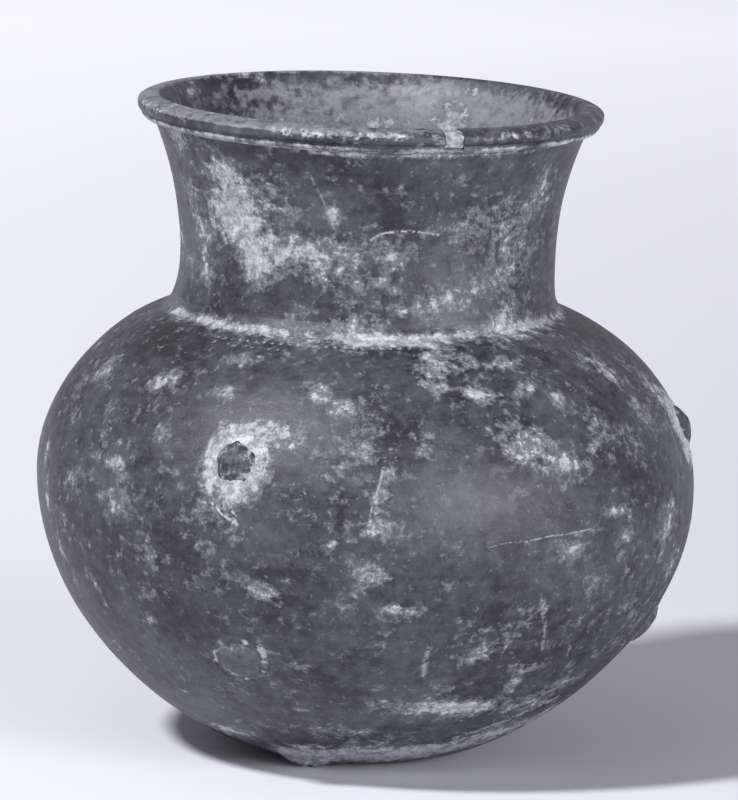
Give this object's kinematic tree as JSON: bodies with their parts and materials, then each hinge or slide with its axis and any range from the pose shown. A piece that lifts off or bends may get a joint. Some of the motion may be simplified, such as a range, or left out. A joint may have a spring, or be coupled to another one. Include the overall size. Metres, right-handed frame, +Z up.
{
  "type": "jar",
  "caption": "Round pottery jar with a full body, a waisted neck, a rolled lip with a filled notch, and domed studs set in the wall.",
  "frame": {"origin": "centre of the flat base, on the surface that the jar stands on", "axes": "+Z up along the jar's axis, -Y towards the front, with the filled notch in the lip to the right of it"},
  "size_m": [0.21, 0.21, 0.2095],
  "materials": {
    "clay": "burnished",
    "bedding": "matt",
    "plaster": "matt",
    "stud": "corroded"
  },
  "bodies": {
    "root": {"base_disc": "clay", "lower_bowl": "clay", "shoulder_wall": "clay", "neck_collar": "clay", "neck_fillet": "bedding", "lip_ring": "clay", "rim_fill": "plaster", "upper_bedding_1": "bedding", "upper_bedding_2": "bedding", "upper_bedding_3": "bedding", "lower_bedding_1": "bedding", "lower_bedding_2": "bedding", "lower_bedding_3": "bedding", "upper_stud_1": "stud", "upper_stud_2": "stud", "upper_stud_3": "stud", "lower_stud_1": "stud", "lower_stud_2": "stud", "lower_stud_3": "stud"}
  },
  "joints": []
}
